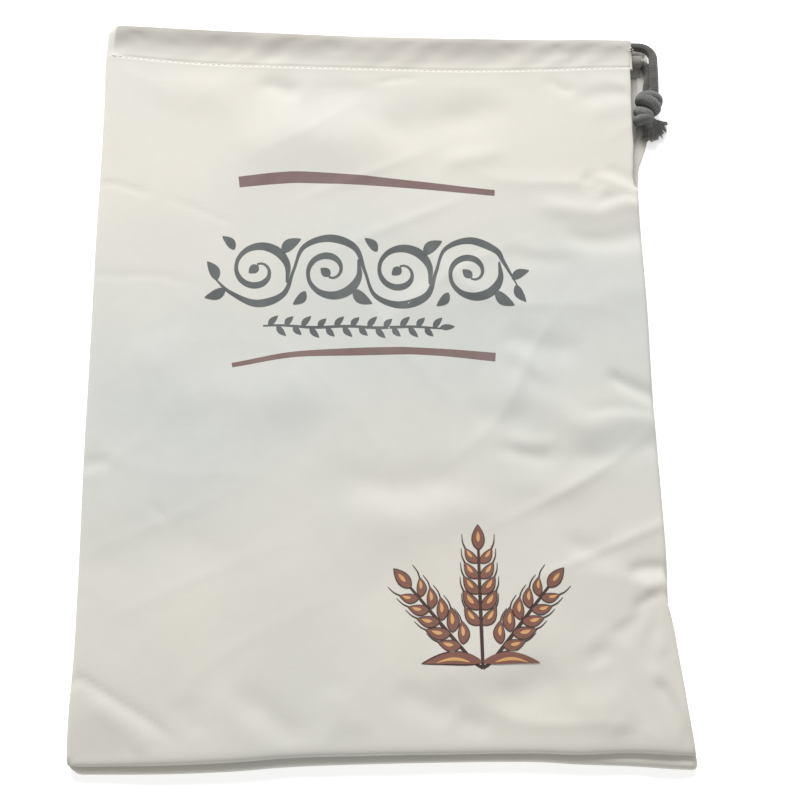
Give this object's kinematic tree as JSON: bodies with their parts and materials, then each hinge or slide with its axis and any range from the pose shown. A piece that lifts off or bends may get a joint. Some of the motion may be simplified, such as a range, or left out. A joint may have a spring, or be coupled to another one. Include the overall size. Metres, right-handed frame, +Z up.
{
  "type": "drawstring bread bag",
  "caption": "Flat, empty drawstring bread bag in off-white cloth, with a casing at its mouth and a knotted charcoal cord.",
  "frame": {"origin": "middle of the bag's footprint, on the surface it lies on, measured without the drawstring's free legs, knot and frayed ends", "axes": "+X across the bag from its folded side to its side seam and slit, +Y along the bag from its sewn end to its mouth, +Z up from its back to its front"},
  "size_m": [0.3189, 0.4041, 0.014],
  "materials": {
    "cloth": "plain woven cotton, off-white, softly creased",
    "cord": "soft braided cotton, charcoal"
  },
  "bodies": {
    "root": {"bag_cloth": "cloth", "drawstring_in_casing": "cord", "drawstring_front_leg": "cord", "drawstring_back_leg": "cord", "drawstring_knot": "cord", "frayed_end_right": "cord", "frayed_end_low": "cord"}
  },
  "joints": []
}
